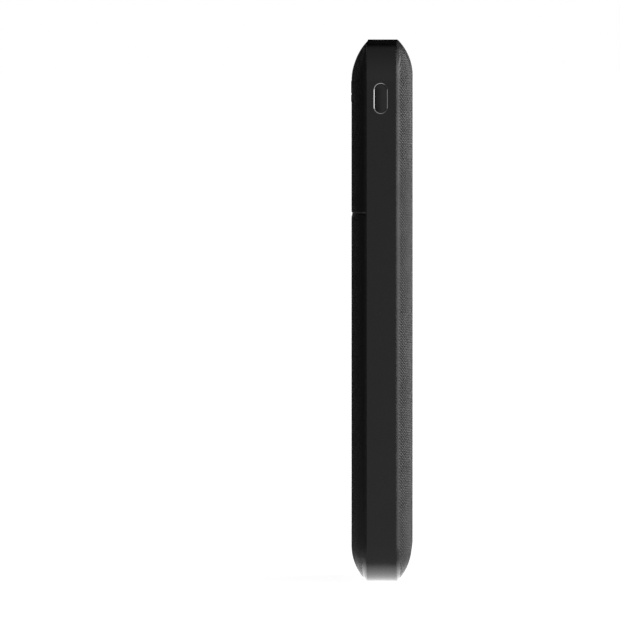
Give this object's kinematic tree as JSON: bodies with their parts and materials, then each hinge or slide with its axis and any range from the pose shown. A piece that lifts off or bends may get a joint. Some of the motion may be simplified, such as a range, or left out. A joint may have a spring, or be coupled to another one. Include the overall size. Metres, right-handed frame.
{
  "type": "power bank",
  "caption": "Slim pocket power bank: pillowed textured covers on a flat edge band, a USB-C port on one long edge and a sprung power button on the other.",
  "frame": {"origin": "under the middle of the lower end face of the edge band, at the height of that face", "axes": "+Z along the length towards the end with the port and the button, +X towards the power button, -X towards the USB-C port, -Y out of the front cover"},
  "size_m": [0.068, 0.0161, 0.143],
  "materials": {
    "mid_frame": "black anodised, satin",
    "inner_chassis": "moulded black plastic",
    "front_cover": "fine diagonal relief",
    "front_accent_panel": "fine diagonal relief",
    "back_cover": "fine diagonal relief",
    "switch_body": "moulded",
    "switch_cover_plate": "stamped",
    "switch_dome": "sprung strip",
    "main_board": "solder mask",
    "board_insulator": "insulating sheet",
    "board_screws": "zinc plated",
    "charge_controller": "moulded package",
    "port_controller": "moulded package",
    "power_mosfets": "moulded package",
    "power_inductor": "pressed ferrite",
    "inductor_terminals": "tinned",
    "polymer_capacitors": "drawn can",
    "ceramic_capacitors": "fired",
    "chip_resistors": "glazed chip",
    "led_chips": "cast lens",
    "light_pipe": "clear",
    "lamp_window": "smoked clear",
    "badge_plate": "polished",
    "usb_c_shell": "drawn stainless",
    "usb_c_tongue": "moulded",
    "usb_c_contacts": "gold plated",
    "front_cell": "laminated pouch",
    "back_cell": "laminated pouch",
    "cell_tape": "double-sided tape, satin",
    "cell_tabs": "nickel strip",
    "front_foam_pad": "open-cell foam, matte",
    "back_foam_pad": "open-cell foam, matte",
    "protection_board": "solder mask",
    "protection_chips": "moulded package",
    "thermistor": "coated bead",
    "battery_lead_red": "silicone wire",
    "battery_lead_black": "silicone wire",
    "power_button": "satin",
    "switch_plunger": "moulded"
  },
  "bodies": {
    "case": {"mid_frame": "mid_frame", "inner_chassis": "inner_chassis", "front_cover": "front_cover", "front_accent_panel": "front_accent_panel", "back_cover": "back_cover", "switch_body": "switch_body", "switch_cover_plate": "switch_cover_plate", "switch_dome": "switch_dome", "main_board": "main_board", "board_insulator": "board_insulator", "board_screws": "board_screws", "charge_controller": "charge_controller", "port_controller": "port_controller", "power_mosfets": "power_mosfets", "power_inductor": "power_inductor", "inductor_terminals": "inductor_terminals", "polymer_capacitors": "polymer_capacitors", "ceramic_capacitors": "ceramic_capacitors", "chip_resistors": "chip_resistors", "led_chips": "led_chips", "light_pipe": "light_pipe", "lamp_window": "lamp_window", "badge_plate": "badge_plate", "usb_c_shell": "usb_c_shell", "usb_c_tongue": "usb_c_tongue", "usb_c_contacts": "usb_c_contacts", "front_cell": "front_cell", "back_cell": "back_cell", "cell_tape": "cell_tape", "cell_tabs": "cell_tabs", "front_foam_pad": "front_foam_pad", "back_foam_pad": "back_foam_pad", "protection_board": "protection_board", "protection_chips": "protection_chips", "thermistor": "thermistor", "battery_lead_red": "battery_lead_red", "battery_lead_black": "battery_lead_black"},
    "button": {"power_button": "power_button"},
    "plunger": {"switch_plunger": "switch_plunger"}
  },
  "joints": [
    {"name": "button_press", "type": "slide", "parent": "case", "child": "button", "axis": [-1, 0, 0], "range_m": [0, 0.0003], "stiffness_N_per_m": 1000, "springref_m": -0.0004},
    {"name": "plunger_press", "type": "slide", "parent": "case", "child": "plunger", "axis": [-1, 0, 0], "range_m": [0, 0.0003]}
  ],
  "couplings": [
    {"joint": "plunger_press", "follows": "button_press", "ratio": 1}
  ]
}
